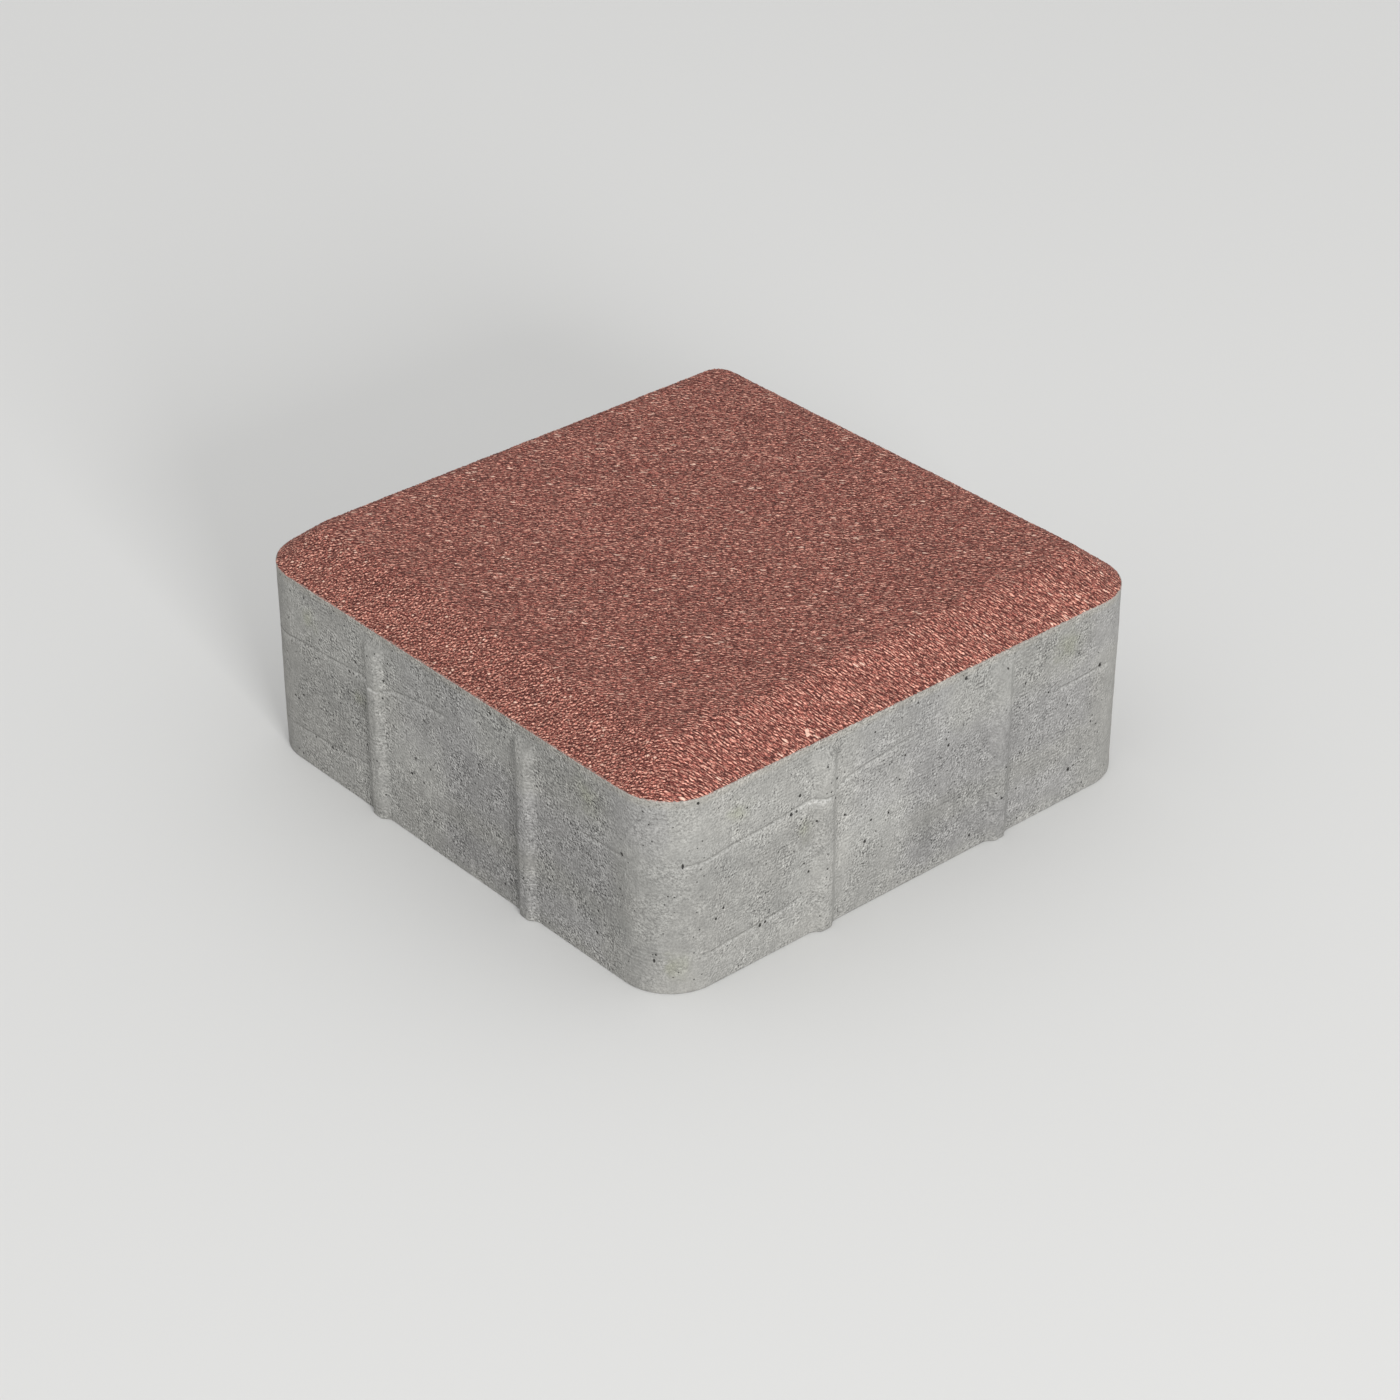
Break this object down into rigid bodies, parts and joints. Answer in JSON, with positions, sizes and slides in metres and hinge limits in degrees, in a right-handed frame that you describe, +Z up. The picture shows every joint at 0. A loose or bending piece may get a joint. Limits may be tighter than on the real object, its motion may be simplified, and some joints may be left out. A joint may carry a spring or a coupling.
{
  "type": "concrete paving stone",
  "caption": "Square two-layer concrete paving stone with a red bevelled wearing face on a grey block whose sides carry spacer nibs; laid on a bed to make a paved surface.",
  "frame": {"origin": "middle of the underside, which lies on the bed", "axes": "+Z up, square to the wearing face; +X and +Y square to two neighbouring sides of the stone"},
  "size_m": [0.204, 0.204, 0.08],
  "materials": {
    "grey_concrete": "smooth cast grey concrete with cloudy patches and small pores, matte",
    "red_concrete": "grainy red-brown pigmented concrete with pale sand flecks and dark pits, matte"
  },
  "bodies": {
    "root": {"base_block": "grey_concrete", "face_layer": "red_concrete"}
  },
  "joints": []
}
